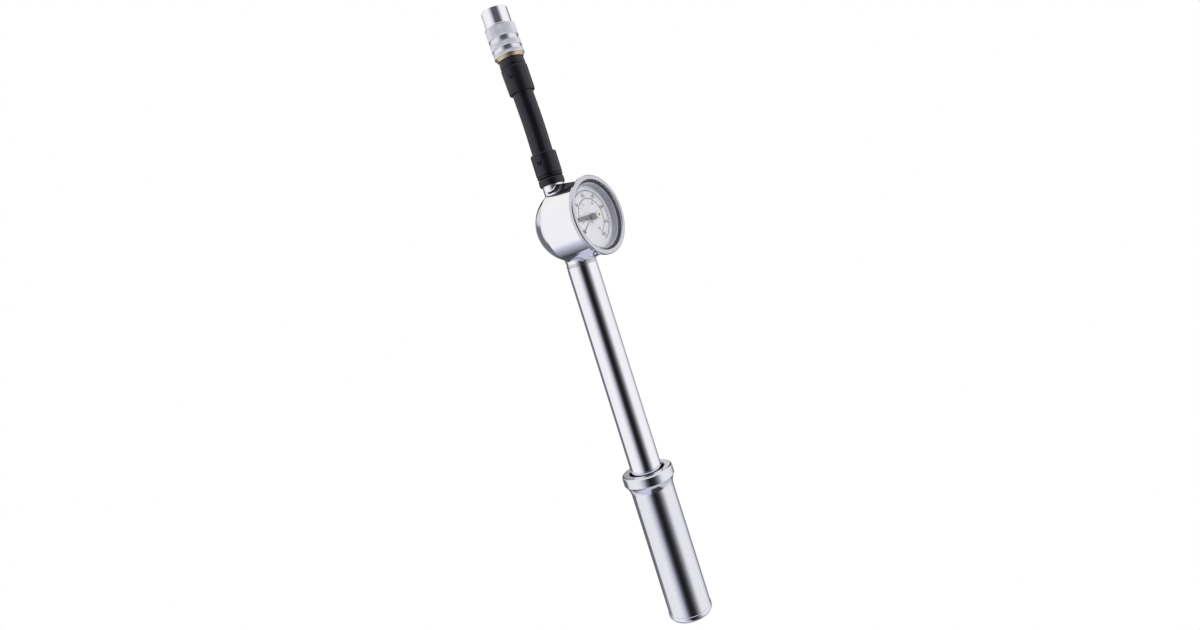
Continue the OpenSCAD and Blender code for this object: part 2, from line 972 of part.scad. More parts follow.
barrel_tube();
barrel_end_bush();
rod_wiper_ring();
barrel_seal_ring();
gauge_housing();
gauge_bezel();
gauge_lens();
lens_gasket();
dial_spacer_ring();
dial_face();
needle_stop_pin();
movement_rear_plate();
movement_front_plate();
movement_pillars();
movement_screws();
bourdon_socket();
bourdon_tube();
hairspring();
valve_seat();
check_spring();
check_ball();
port_nut();
handle_sleeve();
handle_end_cap();
rod_lock_nut();
rod_bumper();
piston_rod();
piston_head();
piston_seal();
piston_wear_ring();
hose_tail();
swivel_oring();
lower_ferrule();
hose_lower();
hose_upper();
upper_ferrule();
chuck_nut();
chuck_stem();
stem_oring();
nozzle_clip();
valve_nozzle();
valve_gasket();
knurled_collar();
core_pin();
needle_pointer();
needle_hub();
pinion_arbor();
sector_gear();
sector_arbor();
bourdon_link();
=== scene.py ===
import json
import math

import bmesh
import bpy
from mathutils import Matrix, Vector


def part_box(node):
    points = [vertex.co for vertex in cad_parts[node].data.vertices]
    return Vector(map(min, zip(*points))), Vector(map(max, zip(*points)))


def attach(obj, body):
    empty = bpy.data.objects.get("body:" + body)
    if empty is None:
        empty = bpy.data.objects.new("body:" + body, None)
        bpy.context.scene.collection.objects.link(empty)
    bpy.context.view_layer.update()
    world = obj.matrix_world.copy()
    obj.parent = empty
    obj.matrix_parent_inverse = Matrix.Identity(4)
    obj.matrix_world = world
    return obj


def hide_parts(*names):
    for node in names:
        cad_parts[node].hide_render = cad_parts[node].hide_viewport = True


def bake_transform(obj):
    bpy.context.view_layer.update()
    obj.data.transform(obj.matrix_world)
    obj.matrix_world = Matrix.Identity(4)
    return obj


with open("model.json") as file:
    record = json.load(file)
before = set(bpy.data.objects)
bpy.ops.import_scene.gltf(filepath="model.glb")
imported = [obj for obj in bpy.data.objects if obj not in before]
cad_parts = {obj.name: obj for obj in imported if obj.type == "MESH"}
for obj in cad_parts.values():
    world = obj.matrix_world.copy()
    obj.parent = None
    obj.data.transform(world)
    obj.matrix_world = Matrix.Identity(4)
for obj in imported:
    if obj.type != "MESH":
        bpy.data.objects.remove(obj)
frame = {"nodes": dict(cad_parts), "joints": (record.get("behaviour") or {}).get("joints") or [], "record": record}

# A shock suspension pump: chrome barrel and gauge, satin handle, a short black
# hose with crimped ferrules and a knurled two-stage chuck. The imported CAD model
# gives every size and place. Lengths are metres, and MM turns millimetres into
# them.
MM = 0.001
NODES = frame["nodes"]
JOINTS = {joint["name"]: joint for joint in frame["joints"]}
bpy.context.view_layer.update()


# ---- Places, all worked out from the frame ----

def turned_to(axis, point):
    """Frame with +Z along axis that keeps its level where it passes point."""
    turn = Vector((0, 0, 1)).rotation_difference(Vector(axis)).to_matrix().to_4x4()
    return Matrix.Translation(point) @ turn @ Matrix.Translation((0, 0, -point.z))


def span(node, place=Matrix.Identity(4)):
    """Lowest and highest corner of a CAD node, measured in the frame `place`."""
    back = place.inverted()
    points = [back @ vertex.co for vertex in NODES[node].data.vertices]
    low = Vector(min(p[i] for p in points) for i in range(3))
    high = Vector(max(p[i] for p in points) for i in range(3))
    return low, high


def radius(node, place=Matrix.Identity(4)):
    """Radius of a round CAD node about the Z axis of the frame `place`."""
    low, high = span(node, place)
    return (high.x - low.x) / 2


BEND = Vector(JOINTS["hose_bend"]["pos_m"])
PORT = Matrix.Translation((0, BEND.y, 0))
CHUCK = turned_to(JOINTS["nozzle_spin"]["axis"], BEND)

dial_low, dial_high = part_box("dial_face")
# Gauge frame: X to the right and Y up as the dial is read, Z out of the dial
GAUGE = (
    Matrix.Translation((0, 0, (dial_low.z + dial_high.z) / 2))
    @ Matrix.Rotation(math.pi / 2, 4, "X")
)


# ---- Materials ----

class Finish:
    """A Principled material with short calls for procedural detail."""

    def __init__(self, name, colour, metallic, roughness, **sockets):
        self.material = bpy.data.materials.new(name)
        self.material.use_nodes = True
        self.tree = self.material.node_tree
        self.shader = self.tree.nodes["Principled BSDF"]
        self.shader.inputs["Base Color"].default_value = (*colour, 1)
        self.shader.inputs["Metallic"].default_value = metallic
        self.shader.inputs["Roughness"].default_value = roughness
        for socket, value in sockets.items():
            self.shader.inputs[socket.replace("_", " ")].default_value = value
        self.coordinates = self.tree.nodes.new("ShaderNodeTexCoord").outputs["Object"]

    def link(self, output, target):
        self.tree.links.new(output, target)

    def scaled(self, per_metre):
        """Object coordinates times a scale along each axis."""
        mapping = self.tree.nodes.new("ShaderNodeMapping")
        mapping.inputs["Scale"].default_value = per_metre
        self.link(self.coordinates, mapping.inputs["Vector"])
        return mapping.outputs["Vector"]

    def noise(self, per_metre, detail=4.0, roughness=0.55, distortion=0.0):
        """Noise value from 0 to 1; per_metre gives its scale along each axis."""
        node = self.tree.nodes.new("ShaderNodeTexNoise")
        node.inputs["Scale"].default_value = 1.0
        node.inputs["Detail"].default_value = detail
        node.inputs["Roughness"].default_value = roughness
        node.inputs["Distortion"].default_value = distortion
        self.link(self.scaled(per_metre), node.inputs["Vector"])
        return node.outputs["Fac"]

    def mapped(self, value, low, high, to_low, to_high):
        """Value carried from one range to another and clamped there."""
        node = self.tree.nodes.new("ShaderNodeMapRange")
        node.inputs["From Min"].default_value = low
        node.inputs["From Max"].default_value = high
        node.inputs["To Min"].default_value = to_low
        node.inputs["To Max"].default_value = to_high
        self.link(value, node.inputs["Value"])
        return node.outputs["Result"]

    def blend(self, factor, first, second):
        """Colour that goes from first to second with factor; either may be a socket."""
        node = self.tree.nodes.new("ShaderNodeMix")
        node.data_type = "RGBA"
        self.link(factor, node.inputs["Factor"])
        for socket, colour in (("A", first), ("B", second)):
            target = [s for s in node.inputs if s.name == socket and s.type == "RGBA"][0]
            if isinstance(colour, tuple):
                target.default_value = (*colour, 1)
            else:
                self.link(colour, target)
        return [s for s in node.outputs if s.type == "RGBA"][0]

    def colour(self, output):
        self.link(output, self.shader.inputs["Base Color"])

    def rough(self, output):
        self.link(output, self.shader.inputs["Roughness"])

    def bump(self, *heights):
        """Chained bumps; each height is (value, strength, distance in mm)."""
        normal = None
        for value, strength, distance in heights:
            node = self.tree.nodes.new("ShaderNodeBump")
            node.inputs["Strength"].default_value = strength
            node.inputs["Distance"].default_value = distance * MM
            self.link(value, node.inputs["Height"])
            if normal:
                self.link(normal, node.inputs["Normal"])
            normal = node.outputs["Normal"]
        self.link(normal, self.shader.inputs["Normal"])


def polished_chrome():
    """Mirror chrome plate with faint orange peel and a few dull patches."""
    f = Finish("polished_chrome", (0.83, 0.83, 0.88), 1.0, 0.08)
    f.rough(f.mapped(f.noise((160, 160, 160)), 0.35, 0.75, 0.03, 0.07))
    peel = f.noise((500, 500, 500), detail=2.0)
    fine = f.noise((2600, 2600, 2600), detail=3.0)
    f.bump((peel, 0.03, 0.1), (fine, 0.02, 0.02))
    f.colour(f.blend(f.noise((90, 90, 90)), (0.80, 0.80, 0.85), (0.86, 0.86, 0.91)))
    return f.material


def barrel_chrome():
    """Chrome tube with hairlines that run along its length."""
    f = Finish("barrel_chrome", (0.83, 0.83, 0.88), 1.0, 0.07)
    drawn = f.noise((1500, 1500, 12), detail=5.0)
    f.rough(f.mapped(drawn, 0.3, 0.8, 0.02, 0.06))
    f.bump((drawn, 0.03, 0.02), (f.noise((300, 300, 300), detail=2.0), 0.02, 0.1))
    f.colour(f.blend(f.noise((700, 700, 20)), (0.80, 0.80, 0.85), (0.86, 0.86, 0.91)))
    return f.material


def satin_aluminium():
    """Anodised grip with the fine turning marks of a lathe."""
    f = Finish("satin_aluminium", (0.73, 0.73, 0.80), 1.0, 0.14)
    turned = f.noise((60, 60, 5200), detail=4.0)
    cloud = f.noise((110, 110, 70))
    f.rough(f.mapped(cloud, 0.3, 0.75, 0.11, 0.17))
    f.bump((turned, 0.10, 0.015), (f.noise((3200, 3200, 3200)), 0.08, 0.012))
    f.colour(f.blend(cloud, (0.71, 0.71, 0.78), (0.76, 0.76, 0.82)))
    return f.material


def knurled_chrome():
    """Plating over the knurl: brighter on the crests, dull in the valleys."""
    f = Finish("knurled_chrome", (0.80, 0.80, 0.85), 1.0, 0.2)
    grain = f.noise((2400, 2400, 2400))
    f.rough(f.mapped(grain, 0.3, 0.8, 0.12, 0.26))
    f.bump((grain, 0.06, 0.015))
    f.colour(f.blend(f.noise((400, 400, 400)), (0.66, 0.66, 0.73), (0.78, 0.78, 0.85)))
    return f.material


def bezel_chrome():
    """Plate of the bezel, a little greyer and softer than the housing's."""
    f = Finish("bezel_chrome", (0.57, 0.57, 0.62), 1.0, 0.12)
    cloud = f.noise((230, 230, 230))
    f.rough(f.mapped(cloud, 0.3, 0.8, 0.09, 0.17))
    f.bump((f.noise((2400, 2400, 2400)), 0.04, 0.015))
    f.colour(f.blend(cloud, (0.54, 0.54, 0.59), (0.61, 0.61, 0.66)))
    return f.material


def steel():
    """Bright turned steel."""
    f = Finish("steel", (0.60, 0.61, 0.64), 1.0, 0.22)
    turned = f.noise((80, 80, 3800))
    f.rough(f.mapped(turned, 0.3, 0.8, 0.14, 0.30))
    f.bump((turned, 0.12, 0.012))
    f.colour(f.blend(f.noise((300, 300, 300)), (0.54, 0.55, 0.58), (0.66, 0.67, 0.70)))
    return f.material


def brass():
    """Turned brass that has begun to darken in places."""
    f = Finish("brass", (0.64, 0.52, 0.36), 1.0, 0.34)
    tarnish = f.noise((260, 260, 260), detail=6.0)
    turned = f.noise((70, 70, 4200))
    f.rough(f.mapped(tarnish, 0.3, 0.8, 0.28, 0.44))
    f.bump((turned, 0.15, 0.015))
    spread = f.mapped(tarnish, 0.35, 0.75, 0, 1)
    f.colour(f.blend(spread, (0.68, 0.56, 0.39), (0.50, 0.39, 0.25)))
    return f.material


def black_ferrule():
    """Matte black coating on the crimped ferrules and nuts, rubbed a little."""
    f = Finish("black_ferrule", (0.007, 0.006, 0.009), 0.0, 0.32, Specular_Tint=(0.86, 0.86, 1.0, 1.0))
    grit = f.noise((3000, 3000, 3000), detail=3.0)
    rub = f.noise((220, 220, 140), detail=6.0, distortion=0.6)
    f.rough(f.mapped(rub, 0.35, 0.75, 0.27, 0.38))
    f.bump((grit, 0.16, 0.02), (rub, 0.05, 0.05))
    f.colour(f.blend(f.mapped(rub, 0.5, 0.8, 0, 1), (0.005, 0.005, 0.007), (0.013, 0.012, 0.016)))
    return f.material


def black_rubber():
    """Plain black rubber of the rings and seals."""
    f = Finish("black_rubber", (0.02, 0.02, 0.022), 0.0, 0.5)
    grain = f.noise((2600, 2600, 2600))
    f.rough(f.mapped(grain, 0.3, 0.8, 0.42, 0.6))
    f.bump((grain, 0.15, 0.02))
    f.colour(f.blend(f.noise((300, 300, 300)), (0.016, 0.016, 0.018), (0.032, 0.032, 0.036)))
    return f.material


def hose_rubber():
    """Smooth hose cover with a soft shine and faint lines along it."""
    f = Finish("hose_rubber", (0.006, 0.005, 0.008), 0.0, 0.22, Specular_Tint=(0.86, 0.86, 1.0, 1.0))
    drawn = f.noise((1100, 1100, 25), detail=4.0)
    cloud = f.noise((160, 160, 60), detail=5.0)
    f.rough(f.mapped(cloud, 0.3, 0.8, 0.17, 0.27))
    f.bump((drawn, 0.10, 0.02), (f.noise((4200, 4200, 4200)), 0.10, 0.01))
    f.colour(f.blend(cloud, (0.004, 0.004, 0.006), (0.009, 0.008, 0.011)))
    return f.material


def white_dial():
    """Matte enamel of the dial."""
    f = Finish("white_dial", (0.92, 0.92, 0.95), 0.0, 0.5)
    cloud = f.noise((150, 150, 150), detail=5.0)
    f.rough(f.mapped(cloud, 0.3, 0.8, 0.42, 0.58))
    f.bump((f.noise((1800, 1800, 1800)), 0.05, 0.01))
    f.colour(f.blend(cloud, (0.90, 0.90, 0.94), (0.94, 0.94, 0.96)))
    return f.material


def pale_plastic():
    """Satin plastic of the ring round the dial and the wear ring, in a dim lavender grey; on the ring round the
    dial that grey is painted shade of the recess.
    """
    f = Finish("pale_plastic", (0.40, 0.40, 0.50), 0.0, 0.38)
    cloud = f.noise((200, 200, 200))
    f.rough(f.mapped(cloud, 0.3, 0.8, 0.32, 0.46))
    f.bump((f.noise((1500, 1500, 1500)), 0.06, 0.01))
    f.colour(f.blend(cloud, (0.36, 0.36, 0.46), (0.45, 0.45, 0.55)))
    return f.material


def lens():
    """Clear moulded window with a light haze."""
    f = Finish("lens", (0.93, 0.94, 0.98), 0.0, 0.04, Alpha=0.06, Specular_IOR_Level=0.6)
    haze = f.noise((140, 140, 140), detail=5.0)
    f.rough(f.mapped(haze, 0.3, 0.8, 0.03, 0.09))
    f.bump((f.noise((350, 350, 350), detail=1.0), 0.02, 0.05))
    f.colour(f.blend(haze, (0.90, 0.91, 0.96), (0.96, 0.96, 0.99)))
    return f.material


def boss_painted_highlight():
    """Painted highlight: cream colour on the moulded boss in the middle of the window, standing in for the light
    that the clear boss shows.
    """
    f = Finish("boss_painted_highlight", (0.80, 0.78, 0.72), 0.0, 0.4)
    cloud = f.noise((900, 900, 900))
    f.rough(f.mapped(cloud, 0.3, 0.8, 0.32, 0.5))
    f.bump((f.noise((4000, 4000, 4000)), 0.1, 0.01))
    f.colour(f.blend(cloud, (0.74, 0.72, 0.66), (0.86, 0.84, 0.79)))
    return f.material


def needle_paint():
    """Brown-grey lacquer of the pointer."""
    f = Finish("needle_paint", (0.20, 0.17, 0.17), 0.3, 0.4)
    cloud = f.noise((700, 700, 700))
    f.rough(f.mapped(cloud, 0.3, 0.8, 0.32, 0.48))
    f.bump((f.noise((3000, 3000, 3000)), 0.06, 0.01))
    f.colour(f.blend(cloud, (0.16, 0.14, 0.15), (0.27, 0.23, 0.22)))
    return f.material


def dial_ink():
    """Grey printing ink with a slightly uneven edge tone."""
    f = Finish("dial_ink", (0.13, 0.13, 0.19), 0.0, 0.5)
    cloud = f.noise((900, 900, 900))
    f.rough(f.mapped(cloud, 0.3, 0.8, 0.42, 0.6))
    f.bump((cloud, 0.05, 0.01))
    f.colour(f.blend(cloud, (0.10, 0.10, 0.16), (0.18, 0.18, 0.25)))
    return f.material


FINISHES = {
    make.__name__: make()
    for make in (
        polished_chrome, barrel_chrome, satin_aluminium, knurled_chrome, bezel_chrome,
        steel, brass, black_ferrule, black_rubber, hose_rubber, white_dial, pale_plastic,
        lens, boss_painted_highlight, needle_paint, dial_ink,
    )
}


def paint(thing, finish):
    thing.data.materials.clear()
    thing.data.materials.append(FINISHES[finish])


def paint_cad_nodes():
    """Gives each CAD node the finish that the record names for it."""
    for part in frame["record"]["subparts"]:
        paint(NODES[part["node"]], part["material_slot"])
    paint(NODES["gauge_bezel"], "bezel_chrome")
    paint(NODES["needle_hub"], "needle_paint")


# ---- Mesh tools ----

SHARP_EDGE = math.radians(35)


def smoothstep(t):
    """0 below 0, 1 above 1 and a smooth rise between."""
    t = min(max(t, 0.0), 1.0)
    return t * t * (3 - 2 * t)


def arc(centre, r, start, end, steps):
    """Points (r, z) on an arc between two angles in degrees."""
    return [
        (
            centre[0] + r * math.cos(math.radians(start + (end - start) * i / steps)),
            centre[1] + r * math.sin(math.radians(start + (end - start) * i / steps)),
        )
        for i in range(steps + 1)
    ]


def ring_surface(rings, closed_loop):
    """bmesh through rings of equally many points; a loop also joins last to first."""
    mesh = bmesh.new()
    rows = [[mesh.verts.new(point) for point in ring] for ring in rings]
    pairs = list(zip(rows, rows[1:]))
    if closed_loop:
        pairs.append((rows[-1], rows[0]))
    for near, far in pairs:
        count = len(near)
        for i in range(count):
            j = (i + 1) % count
            mesh.faces.new((near[i], near[j], far[j], far[i]))
    return mesh, rows


def turned(profile, segments, place, shape=None):
    """Half section of (r, z) points, turned round the Z axis of `place`.
    shape(r, angle, z) may return another radius for a point of the skin."""
    rings = []
    for r, z in profile:
        ring = []
        for i in range(segments):
            angle = 2 * math.pi * i / segments
            rr = shape(r, angle, z) if shape else r
            ring.append(place @ Vector((rr * math.cos(angle), rr * math.sin(angle), z)))
        rings.append(ring)
    return ring_surface(rings, closed_loop=True)[0]


def piece(name, mesh, finish, body, slot, *nodes):
    """Turns a bmesh into a smooth named piece that rides on a body."""
    bmesh.ops.recalc_face_normals(mesh, faces=mesh.faces)
    data = bpy.data.meshes.new(name)
    mesh.to_mesh(data)
    mesh.free()
    data.shade_smooth()
    data.set_sharp_from_angle(angle=SHARP_EDGE)
    thing = bpy.data.objects.new(name, data)
    bpy.context.scene.collection.objects.link(thing)
    paint(thing, finish)
    if body:
        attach(thing, body)
    if nodes:
        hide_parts(*nodes)
    return thing


def dense(profile, step, fine_step=None, fine_from=math.inf):
    """Profile with extra points, so that no stretch is longer than step. Where
    both ends lie outside the radius fine_from, fine_step counts instead."""
    result = []
    for (r0, z0), (r1, z1) in zip(profile, profile[1:] + profile[:1]):
        longest = fine_step if min(r0, r1) > fine_from else step
        count = max(1, math.ceil(math.hypot(r1 - r0, z1 - z0) / longest))
        result += [
            (r0 + (r1 - r0) * i / count, z0 + (z1 - z0) * i / count)
            for i in range(count)
        ]
    return result


# ---- Hose and its ferrules ----

def make_hose():
    """One smooth hose in place of the two stiff halves, curved from the port's line to the chuck's."""
    sides = 72
    step = 0.6 * MM
    tuck = 0.2 * MM
    low = span("hose_lower", PORT)[0].z + tuck
    high = span("hose_upper", CHUCK)[1].z - tuck
    r = radius("hose_lower", PORT)
    free_from = span("lower_ferrule", PORT)[1].z
    free_to = span("upper_ferrule", CHUCK)[0].z
    rows = math.ceil((high - low) / step)
    rings = []
    for k in range(rows + 1):
        z = low + (high - low) * k / rows
        weight = smoothstep((z - free_from) / (free_to - free_from))
        ring = []
        for i in range(sides):
            angle = 2 * math.pi * i / sides
            point = Vector((r * math.cos(angle), r * math.sin(angle), z))
            ring.append((PORT @ point).lerp(CHUCK @ point, weight))
        rings.append(ring)
    mesh, skin = ring_surface(rings, closed_loop=False)
    mesh.faces.new(skin[0])
    mesh.faces.new(skin[-1])
    hose = piece("hose", mesh, "hose_rubber", None, "hose_rubber", "hose_lower", "hose_upper")
    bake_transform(hose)


def crimp_mark(angle, level, half_height, spread, half_line, depth):
    """Shape of one crimp mark: two slanted hollows that meet at their lower end."""
    def press(r, a, z):
        turn = math.atan2(math.sin(a - angle), math.cos(a - angle)) * r
        rise = z - level + half_height
        if not 0 <= rise <= 2 * half_height:
            return r
        away = abs(abs(turn) - spread * rise) / half_line
        ends = smoothstep(min(rise, 2 * half_height - rise) / half_line)
        return r - depth * ends * (1 - smoothstep(away)) if away < 1 else r
    return press


def facing(degrees):
    """Angle about Z of a direction counted from -X towards -Y, in radians."""
    return math.pi + math.radians(degrees)


def ferrule_profile(low, high, r_low, r_high, bore, groove):
    """Half section of a crimped sleeve with rolled ends and a groove near its foot."""
    roll = 0.55 * MM
    skin = arc((r_low - roll, low + roll), roll, -90, 0, 6)
    if groove:
        at, deep = groove
        floor = r_low - deep
        skin += [
            (r_low, at - deep), (floor, at - 0.4 * deep),
            (floor, at + 0.4 * deep), (r_low, at + deep),
        ]
    skin += arc((r_high - roll, high - roll), roll, 0, 90, 6)
    return skin + [(bore, high), (bore, low)]


def make_ferrules():
    """Crimped black sleeves that hold the hose's ends, each with a crimp mark."""
    segments = 144
    step = 0.22 * MM
    bore = radius("hose_lower", PORT) + 0.02 * MM
    swell = 0.13 * MM
    mark = dict(half_height=1.2 * MM, spread=0.42, half_line=0.5 * MM, depth=0.45 * MM)

    low, high = span("lower_ferrule", PORT)
    groove = (low.z + 0.9 * MM, 0.3 * MM)
    profile = ferrule_profile(low.z, high.z, high.x, high.x, bore, groove)
    press = crimp_mark(facing(15), high.z - 4.1 * MM, **mark)
    mesh = turned(dense(profile, step), segments, PORT, press)
    piece(
        "lower_crimp_ferrule", mesh, "black_ferrule", "hose_base",
        "black_ferrule", "lower_ferrule",
    )

    low, high = span("upper_ferrule", CHUCK)
    profile = ferrule_profile(low.z, high.z, high.x - swell, high.x, bore, None)
    press = crimp_mark(facing(20), high.z - 4.4 * MM, **mark)
    mesh = turned(dense(profile, step), segments, CHUCK, press)
    piece(
        "upper_crimp_ferrule", mesh, "black_ferrule", "chuck",
        "black_ferrule", "upper_ferrule",
    )


# ---- Collar ----

def knurl(teeth, pitch, depth, bands):
    """Diamond knurl: pyramids between two sets of helical grooves."""
    def wave(t):
        t -= math.floor(t)
        return 1 - abs(2 * t - 1)

    def cut(r, angle, z):
        for low, high in bands:
            if low <= z <= high:
                around = teeth * angle / (2 * math.pi)
                along = z / pitch
                edge = smoothstep(min(z - low, high - z) / (0.3 * MM))
                height = min(wave(around + along), wave(around - along))
                return r - depth * edge * (1 - height)
        return r
    return cut


def make_collar():
    """The collar: three knurled bands with a plain groove between each two."""
    segments = 504
    teeth = 63
    low, high = span("knurled_collar", CHUCK)
    r = high.x
    skin_r = r - 0.01 * MM
    floor_r = r - 0.3 * MM
    bore_r = r - 1.1 * MM
    soft = 0.12 * MM
    top_bevel = 0.3 * MM
    land_top = high.z - 0.35 * MM
    edges = [0, 1.6, 3.1, 5.45, 7.1]
    rim, groove_1, band_1, groove_2, band_2 = (low.z + e * MM for e in edges)
    profile = [(bore_r, low.z), (r - soft, low.z), (r, low.z + soft)]
    for land_end, groove_end in ((groove_1, band_1), (groove_2, band_2)):
        profile += [
            (r, land_end - soft), (r - soft, land_end), (floor_r, land_end + soft / 2),
            (floor_r, groove_end - soft / 2), (r - soft, groove_end), (r, groove_end + soft),
        ]
    profile += [(r, land_top), (r - top_bevel, high.z), (bore_r, high.z)]
    bands = (
        (rim + soft, groove_1 - soft), (band_1 + soft, groove_2 - soft),
        (band_2 + soft, land_top),
    )
    shape = knurl(teeth, 2 * math.pi * r / teeth, 0.16 * MM, bands)

    def cut(radial, angle, z):
        return shape(radial, angle, z) if radial > skin_r else radial

    fine = dense(profile, 0.8 * MM, fine_step=0.085 * MM, fine_from=skin_r)
    mesh = turned(fine, segments, CHUCK, cut)
    piece(
        "chuck_collar", mesh, "knurled_chrome", "collar",
        "polished_chrome", "knurled_collar",
    )


def make_valve_thread():
    """Ridge of the valve thread inside the nozzle's mouth."""
    mounts = {mount["name"]: mount for mount in frame["record"]["mounts"]}
    bore = mounts["valve_thread"]["dims"]["r_mm"] * MM
    foot_r = bore + 0.02 * MM
    pitch = 0.79 * MM
    depth = 0.3 * MM
    half_foot = 0.34 * MM
    half_crest = 0.06 * MM
    top = span("valve_nozzle", CHUCK)[1].z - 0.7 * MM
    per_turn = 72
    steps = 8 * per_turn
    run_out = per_turn / 4
    mesh = bmesh.new()
    rows = []
    for i in range(steps + 1):
        angle = 2 * math.pi * i / per_turn
        z = top - pitch * i / per_turn
        crest_r = bore - depth * smoothstep(i / run_out) * smoothstep((steps - i) / run_out)
        direction = Vector((math.cos(angle), math.sin(angle), 0))
        corners = (
            (foot_r, z + half_foot), (crest_r, z + half_crest),
            (crest_r, z - half_crest), (foot_r, z - half_foot),
        )
        rows.append([
            mesh.verts.new(CHUCK @ (direction * r + Vector((0, 0, level))))
            for r, level in corners
        ])
    for near, far in zip(rows, rows[1:]):
        for k in range(4):
            j = (k + 1) % 4
            mesh.faces.new((near[k], far[k], far[j], near[j]))
    mesh.faces.new(rows[0])
    mesh.faces.new(rows[-1])
    piece("valve_thread_ridge", mesh, "polished_chrome", "nozzle", "polished_chrome")


# ---- Dial printing ----

DIAL_FRONT = span("dial_face", GAUGE)[1].z
INK_T = 0.02 * MM
SCALE_START = 180
SCALE_SWEEP = 240


def scale_degrees(share):
    """Angle on the dial at a share of the scale's sweep."""
    return SCALE_START - SCALE_SWEEP * share


def on_dial(r, degrees, lift):
    """Point of the dial at a radius and angle, lifted off its face."""
    angle = math.radians(degrees)
    return GAUGE @ Vector((r * math.cos(angle), r * math.sin(angle), DIAL_FRONT + lift))


def strip(mesh, inner, outer, start, end, steps):
    """Adds a thin raised strip between two radii and two angles."""
    lower, upper = [], []
    for lift, rows in ((0.0, lower), (INK_T, upper)):
        for i in range(steps + 1):
            degrees = start + (end - start) * i / steps
            rows.append([mesh.verts.new(on_dial(r, degrees, lift)) for r in (inner, outer)])
    for i in range(steps):
        mesh.faces.new((upper[i][0], upper[i][1], upper[i + 1][1], upper[i + 1][0]))
        mesh.faces.new((lower[i][0], lower[i + 1][0], lower[i + 1][1], lower[i][1]))
        for k in (0, 1):
            mesh.faces.new((lower[i][k], upper[i][k], upper[i + 1][k], lower[i + 1][k]))
    for i in (0, steps):
        mesh.faces.new((lower[i][0], lower[i][1], upper[i][1], upper[i][0]))


def add_ticks(mesh, r, divisions, major, minor):
    """Ticks that reach inwards from radius r, every fifth of them a major one;
    major and minor are (length, width)."""
    for i in range(divisions + 1):
        reach, width = major if i % 5 == 0 else minor
        degrees = scale_degrees(i / divisions)
        half = math.degrees(width / r) / 2
        strip(mesh, r - reach, r, degrees - half, degrees + half, 1)


def make_dial_scale():
    """Two arcs with ticks, from nine o'clock to five o'clock, and a slim mark
    with a wide end below the start of the scale."""
    inner_arc = 7.4 * MM
    outer_arc = 10.5 * MM
    line = 0.3 * MM
    mark_degrees = 216
    mark_from, mark_head, mark_to = 2.4 * MM, 7.7 * MM, 8.9 * MM
    mesh = bmesh.new()
    for r in (inner_arc, outer_arc):
        strip(mesh, r - line / 2, r + line / 2, scale_degrees(0), scale_degrees(1), 96)
    add_ticks(mesh, outer_arc, 30, (1.3 * MM, 0.36 * MM), (0.7 * MM, 0.22 * MM))
    add_ticks(mesh, inner_arc, 20, (0.9 * MM, 0.32 * MM), (0.5 * MM, 0.2 * MM))
    strip(mesh, mark_from, mark_head, mark_degrees - 2.2, mark_degrees + 2.2, 1)
    strip(mesh, mark_head, mark_to, mark_degrees - 6, mark_degrees + 6, 4)
    piece("dial_scale", mesh, "dial_ink", "pump_body", "needle_paint")


def add_number(mesh, text, size, r, degrees):
    """Adds one upright number whose middle lies at a radius and angle."""
    curve = bpy.data.curves.new("number", "FONT")
    curve.body = text
    curve.size = size
    curve.align_x = "CENTER"
    curve.align_y = "CENTER"
    curve.extrude = INK_T / 2
    curve.resolution_u = 4
    curve.offset = 0.04 * MM
    thing = bpy.data.objects.new("number", curve)
    bpy.context.scene.collection.objects.link(thing)
    bpy.context.view_layer.update()
    shown = thing.evaluated_get(bpy.context.evaluated_depsgraph_get())
    flat = bpy.data.meshes.new_from_object(shown)
    angle = math.radians(degrees)
    at = Vector((r * math.cos(angle), r * math.sin(angle), DIAL_FRONT + INK_T / 2))
    flat.transform(GAUGE @ Matrix.Translation(at))
    mesh.from_mesh(flat)
    bpy.data.objects.remove(thing)
    bpy.data.curves.remove(curve)
    bpy.data.meshes.remove(flat)


def make_dial_numbers():
    """Plain pressure numbers: the large scale outside, the small one inside."""
    mesh = bmesh.new()
    for last, step, size, r in (
        (6, 50, 1.75 * MM, 8.55 * MM),
        (4, 5, 1.35 * MM, 5.7 * MM),
    ):
        for i in range(last + 1):
            add_number(mesh, str(step * i), size, r, scale_degrees(i / last))
    piece("dial_numbers", mesh, "dial_ink", "pump_body", "needle_paint")


# ---- Check valve spring ----

def make_check_spring():
    """Round wire coil in place of the CAD spring."""
    low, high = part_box("check_spring")
    wire = 0.2 * MM
    coil_r = radius("check_spring") - wire
    per_turn = 36
    steps = 6 * per_turn
    sides = 12
    rings = []
    for i in range(steps + 1):
        around = 2 * math.pi * i / per_turn
        level = low.z + wire + (high.z - low.z - 2 * wire) * i / steps
        out = Vector((math.cos(around), math.sin(around), 0))
        rings.append([
            out * (coil_r + wire * math.cos(a)) + Vector((0, 0, level + wire * math.sin(a)))
            for a in (2 * math.pi * k / sides for k in range(sides))
        ])
    mesh, skin = ring_surface(rings, closed_loop=False)
    mesh.faces.new(skin[0])
    mesh.faces.new(skin[-1])
    spring = piece("check_spring_coil", mesh, "steel", None, "steel", "check_spring")
    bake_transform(spring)


# ---- Window boss ----

